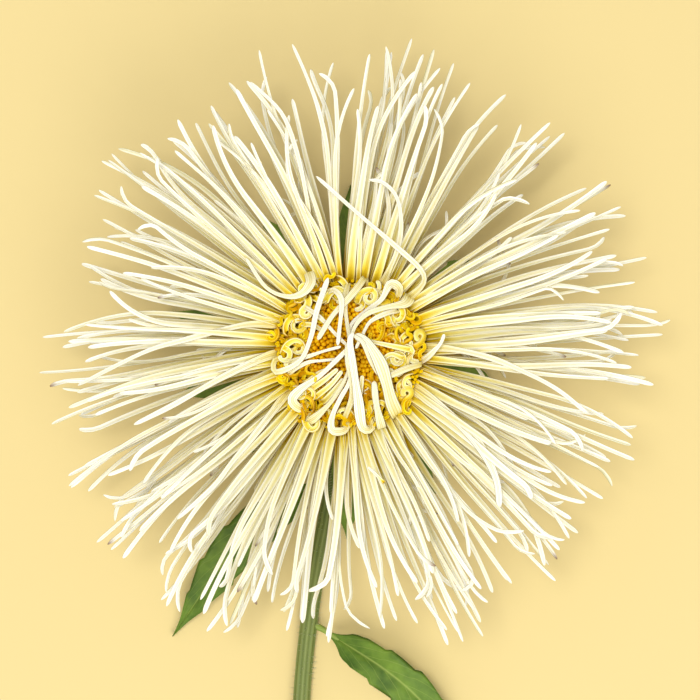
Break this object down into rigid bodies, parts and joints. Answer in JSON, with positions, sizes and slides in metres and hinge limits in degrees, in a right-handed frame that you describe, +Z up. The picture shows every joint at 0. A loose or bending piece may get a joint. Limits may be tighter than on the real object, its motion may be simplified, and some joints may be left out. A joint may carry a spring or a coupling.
{
  "type": "dried china aster flower",
  "caption": "Picked, slightly dried needle-petalled China aster with cream ray petals, yellow eye, leafy green bracts and a bent leafy stem, lying face up.",
  "frame": {"origin": "bottom centre of the bounding box, on the surface that the flower lies on", "axes": "+Z up, the way the bloom faces; the cut stem runs along the surface towards -Y"},
  "size_m": [0.1112, 0.1638, 0.0474],
  "materials": {
    "ray_petal": "soft matt cream petal, yellower towards its root",
    "inner_petal": "soft matt cream to yellow floret",
    "disc": "matt orange-yellow floret buds, brown between them",
    "green_bract": "matt green leaf with a fine fringe of hairs",
    "stem": "ribbed green stem with short hairs",
    "leaf": "matt green leaf with paler veins"
  },
  "bodies": {
    "root": {"ray_petals": "ray_petal", "inner_florets": "inner_petal", "disc_florets": "disc", "involucre": "green_bract", "stem": "stem", "stem_leaf_1": "leaf", "stem_leaf_2": "leaf", "stem_leaf_3": "leaf"}
  },
  "joints": []
}
